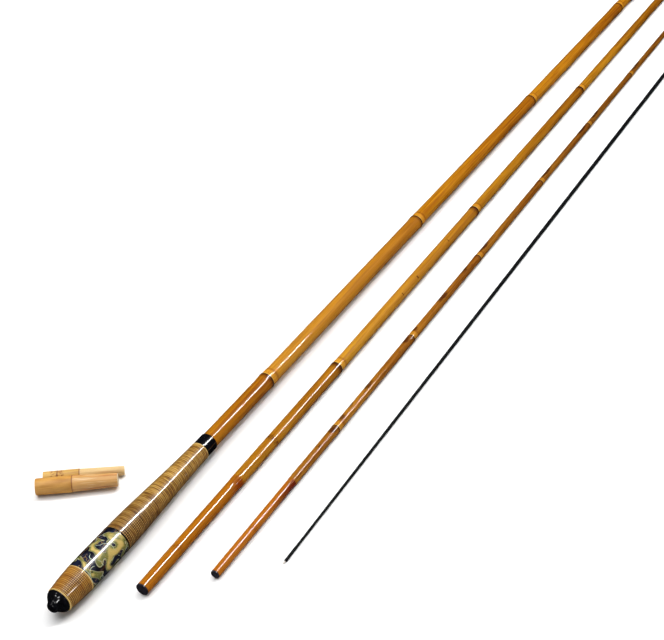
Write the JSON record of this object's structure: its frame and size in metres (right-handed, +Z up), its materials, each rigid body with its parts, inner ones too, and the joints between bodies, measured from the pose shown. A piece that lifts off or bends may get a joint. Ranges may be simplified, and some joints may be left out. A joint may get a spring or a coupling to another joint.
{
  "type": "bamboo fishing rod",
  "caption": "Jointed bamboo carp-fishing rod laid out in its separate hollow sections, with a lacquered grip and the plugs that close the packed mouths.",
  "frame": {"origin": "the middle of the whole layout, on the floor it lies on", "axes": "+X along the butt and second sections, from the grip's end cap towards their mouths; +Y across the layout, towards the plugs; +Z up"},
  "size_m": [1.217, 0.1942, 0.0216],
  "materials": {
    "gold_line": "pale gold lacquered thread",
    "black_lacquer": "black lacquer, polished to a deep gloss",
    "butt_bamboo": "honey bamboo under a thin clear lacquer",
    "brown_lacquered_thread": "thread whipping under dark brown lacquer",
    "grip_core_paper": "pressed core under the winding",
    "raw_bamboo": "bare pale bamboo",
    "lacquered_winding": "fine tan thread winding under clear lacquer",
    "lacquered_band": "patterned band under clear lacquer",
    "second_bamboo": "honey bamboo under a thin clear lacquer",
    "third_bamboo": "darker, mottled bamboo under a thin clear lacquer",
    "pale_thread": "pale cord"
  },
  "bodies": {
    "butt_section": {"band_lower_ring": "gold_line", "band_upper_ring": "black_lacquer", "butt_cap": "black_lacquer", "butt_culm": "butt_bamboo", "butt_socket_wrap": "brown_lacquered_thread", "butt_trim_ring": "gold_line", "collar_trim_ring": "gold_line", "grip_collar": "black_lacquer", "grip_core": "grip_core_paper", "lower_grip_wrap": "lacquered_winding", "main_grip_wrap": "lacquered_winding", "pattern_band": "lacquered_band"},
    "second_section": {"second_culm": "second_bamboo", "second_end_seal": "black_lacquer", "second_socket_wrap": "brown_lacquered_thread"},
    "third_section": {"third_culm": "third_bamboo", "third_end_seal": "black_lacquer", "third_socket_wrap": "brown_lacquered_thread"},
    "tip_section": {"tip_binding": "brown_lacquered_thread", "tip_blank": "black_lacquer", "tip_line_loop": "pale_thread"},
    "large_plug": {"large_plug": "raw_bamboo"},
    "small_plug": {"small_plug": "raw_bamboo"}
  },
  "joints": [
    {"name": "second_section_lift", "type": "slide", "parent": "butt_section", "child": "second_section", "axis": [0, 0, 1], "range_m": [0, 0.1]},
    {"name": "third_section_lift", "type": "slide", "parent": "butt_section", "child": "third_section", "axis": [0, 0, 1], "range_m": [0, 0.1]},
    {"name": "tip_section_lift", "type": "slide", "parent": "butt_section", "child": "tip_section", "axis": [0, 0, 1], "range_m": [0, 0.1]},
    {"name": "large_plug_lift", "type": "slide", "parent": "butt_section", "child": "large_plug", "axis": [0, 0, 1], "range_m": [0, 0.1]},
    {"name": "small_plug_lift", "type": "slide", "parent": "butt_section", "child": "small_plug", "axis": [0, 0, 1], "range_m": [0, 0.1]}
  ]
}
